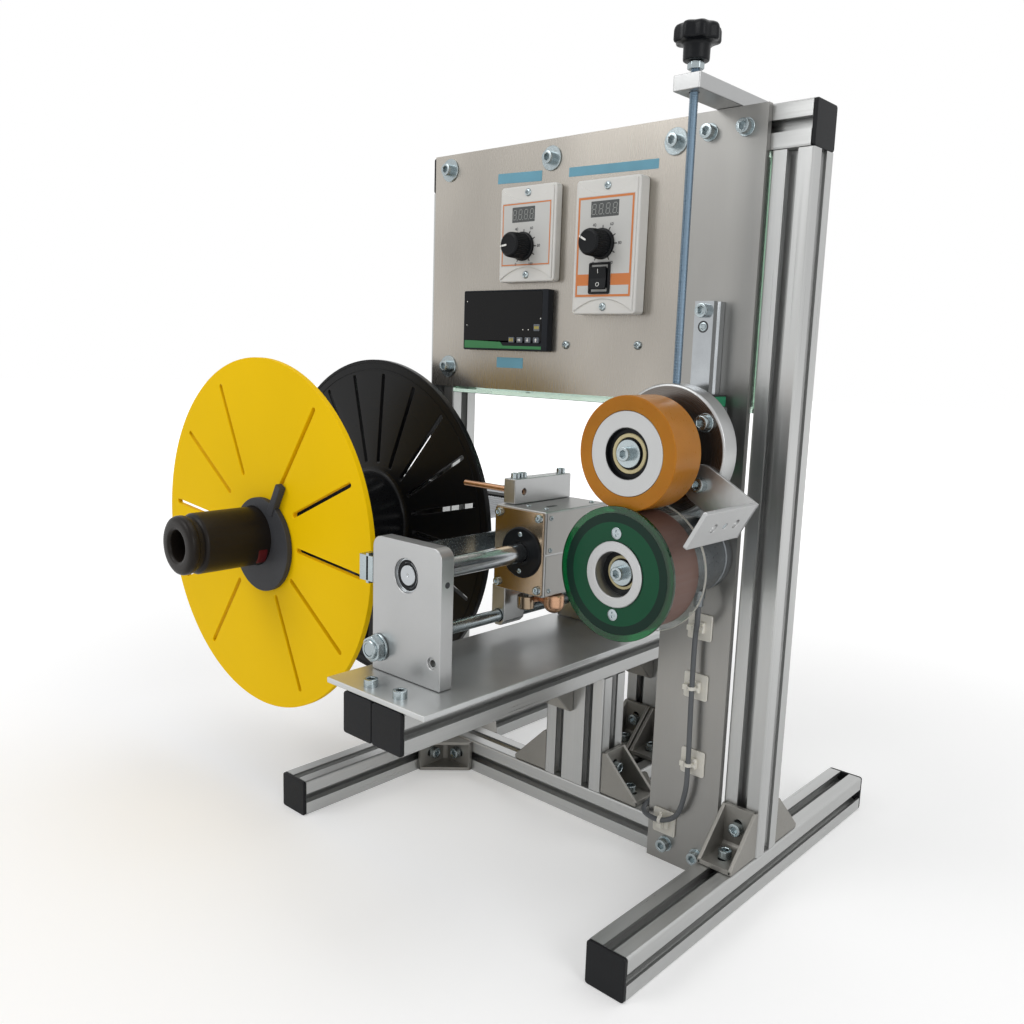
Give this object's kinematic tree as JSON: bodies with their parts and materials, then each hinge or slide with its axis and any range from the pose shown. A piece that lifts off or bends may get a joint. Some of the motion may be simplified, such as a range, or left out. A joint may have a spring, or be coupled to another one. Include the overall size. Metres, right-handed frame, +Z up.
{
  "type": "filament spool winder",
  "caption": "Bench winder for filament: slotted aluminium stand with a driven spool, a traverse that lays the strand, a metering wheel under a screw-down press roller, and a control panel.",
  "frame": {"origin": "on the bench, under the middle of the machine's bounding box", "axes": "+Z up, -Y towards the operator, +X to the right as seen from the front"},
  "size_m": [0.5604, 0.4306, 0.6014],
  "materials": {
    "profile": "extruded and clear anodised",
    "machined": "milled, fine tool marks",
    "stainless": "cold rolled, lightly streaked",
    "zinc": "zinc plated",
    "steel": "ground steel",
    "threaded": "blue zinc plated thread",
    "black_plastic": "moulded, satin",
    "dark_plastic": "moulded, satin, very dark brown",
    "grey_plastic": "moulded, satin",
    "yellow_plastic": "moulded, satin",
    "white_plastic": "moulded, soft gloss",
    "meter_plastic": "moulded, smooth",
    "amber_tyre": "cast polyurethane, slightly see-through",
    "brown_tyre": "cast polyurethane, matt",
    "green_acrylic": "polished acrylic",
    "clear_acrylic": "polished acrylic",
    "pale_acrylic": "polished acrylic, green edges",
    "copper": "drawn copper",
    "black_rubber": "moulded",
    "cable_sheath": "matt sheath",
    "motor_paint": "fluted casting, black"
  },
  "bodies": {
    "frame": {"left_foot": "profile", "right_foot": "profile", "left_upright": "profile", "right_upright": "profile", "cross_rail": "profile", "top_rail": "profile", "middle_foot": "profile", "foot_bracket": "profile", "upright_bracket": "profile", "post_bracket_right": "profile", "post_bracket_left": "profile", "front_post": "profile", "rear_post": "profile", "platform_beam_left": "profile", "platform_beam_right": "profile", "base_plate": "machined", "front_end_block": "machined", "rear_end_block": "machined", "drive_bracket": "machined", "pressure_bar": "machined", "guide_plate": "stainless", "front_panel": "stainless", "guide_rod": "zinc", "stop_strip": "zinc", "linear_rail": "steel", "encoder": "black_plastic", "speed_unit": "white_plastic", "torque_unit": "white_plastic", "length_meter": "meter_plastic", "rear_cover": "pale_acrylic", "drive_belt": "black_rubber", "encoder_cable": "cable_sheath", "drive_motor": "motor_paint"},
    "press_carriage": {"press_carriage": "steel", "press_disc": "machined", "thread_guide_bracket": "machined"},
    "pressure_screw": {"pressure_screw": "threaded", "pressure_knob": "black_plastic"},
    "press_roller": {"press_roller_hub": "machined", "press_roller_tyre": "amber_tyre"},
    "meter_wheel": {"meter_hub": "machined", "meter_tyre": "brown_tyre", "meter_flange_front": "green_acrylic", "meter_flange_rear": "clear_acrylic"},
    "spindle": {"spindle_shaft": "dark_plastic", "spool_core": "black_plastic", "spool_front_flange": "yellow_plastic"},
    "clamp_ring": {"clamp_ring": "grey_plastic"},
    "traverse_shaft": {"traverse_shaft": "steel"},
    "traverse_box": {"traverse_housing": "machined", "tube_clamp": "machined", "guide_tube": "copper"},
    "reversing_lever": {"reversing_lever": "copper"},
    "speed_knob": {"speed_knob": "black_plastic"},
    "torque_knob": {"torque_knob": "black_plastic"},
    "rocker": {"rocker_switch": "black_plastic"},
    "meter_key_1": {"meter_key_1": "grey_plastic"},
    "meter_key_2": {"meter_key_2": "grey_plastic"},
    "meter_key_3": {"meter_key_3": "grey_plastic"},
    "meter_key_4": {"meter_key_4": "grey_plastic"}
  },
  "joints": [
    {"name": "press_slide", "type": "slide", "parent": "frame", "child": "press_carriage", "axis": [0, 0, 1], "range_m": [0, 0.05]},
    {"name": "pressure_screw_turn", "type": "hinge", "parent": "press_carriage", "child": "pressure_screw", "pos_m": [0.20829, -0.0296, 0.48], "axis": [0, 0, 1], "range_deg": [0, 18000]},
    {"name": "press_roller_spin", "type": "hinge", "parent": "press_carriage", "child": "press_roller", "pos_m": [0.20829, -0.0693, 0.3297], "axis": [0, 1, 0], "continuous": true},
    {"name": "meter_wheel_spin", "type": "hinge", "parent": "frame", "child": "meter_wheel", "pos_m": [0.20829, -0.0697, 0.251], "axis": [0, 1, 0], "continuous": true},
    {"name": "spindle_spin", "type": "hinge", "parent": "frame", "child": "spindle", "pos_m": [-0.13021, -0.0697, 0.231], "axis": [0, 1, 0], "continuous": true},
    {"name": "clamp_ring_turn", "type": "hinge", "parent": "spindle", "child": "clamp_ring", "pos_m": [-0.13021, -0.1447, 0.231], "axis": [0, 1, 0], "range_deg": [0, 60]},
    {"name": "traverse_shaft_spin", "type": "hinge", "parent": "frame", "child": "traverse_shaft", "pos_m": [0.08679, -0.0427, 0.239], "axis": [0, 1, 0], "continuous": true},
    {"name": "traverse_slide", "type": "slide", "parent": "frame", "child": "traverse_box", "axis": [0, 1, 0], "range_m": [-0.1, 0.008]},
    {"name": "reversing_lever_turn", "type": "hinge", "parent": "traverse_box", "child": "reversing_lever", "pos_m": [0.08179, -0.0097, 0.2], "axis": [0, 0, 1], "range_deg": [-12, 12]},
    {"name": "speed_knob_turn", "type": "hinge", "parent": "frame", "child": "speed_knob", "pos_m": [0.02999, 0.0003, 0.477], "axis": [0, 1, 0], "range_deg": [-53, 247]},
    {"name": "torque_knob_turn", "type": "hinge", "parent": "frame", "child": "torque_knob", "pos_m": [0.11329, -0.0037, 0.4745], "axis": [0, 1, 0], "range_deg": [-88, 212]},
    {"name": "rocker_tilt", "type": "hinge", "parent": "frame", "child": "rocker", "pos_m": [0.11229, 0.0068, 0.4493], "axis": [1, 0, 0], "range_deg": [-8, 8]},
    {"name": "meter_key_1_press", "type": "slide", "parent": "frame", "child": "meter_key_1", "axis": [0, 1, 0], "range_m": [0, 0.001], "stiffness_N_per_m": 300, "springref_m": -0.0005},
    {"name": "meter_key_2_press", "type": "slide", "parent": "frame", "child": "meter_key_2", "axis": [0, 1, 0], "range_m": [0, 0.001], "stiffness_N_per_m": 300, "springref_m": -0.0005},
    {"name": "meter_key_3_press", "type": "slide", "parent": "frame", "child": "meter_key_3", "axis": [0, 1, 0], "range_m": [0, 0.001], "stiffness_N_per_m": 300, "springref_m": -0.0005},
    {"name": "meter_key_4_press", "type": "slide", "parent": "frame", "child": "meter_key_4", "axis": [0, 1, 0], "range_m": [0, 0.001], "stiffness_N_per_m": 300, "springref_m": -0.0005}
  ],
  "couplings": [
    {"joint": "traverse_shaft_spin", "follows": "spindle_spin", "ratio": 1.25},
    {"joint": "pressure_screw_turn", "follows": "press_slide", "rad_per_m": 6283.2}
  ]
}
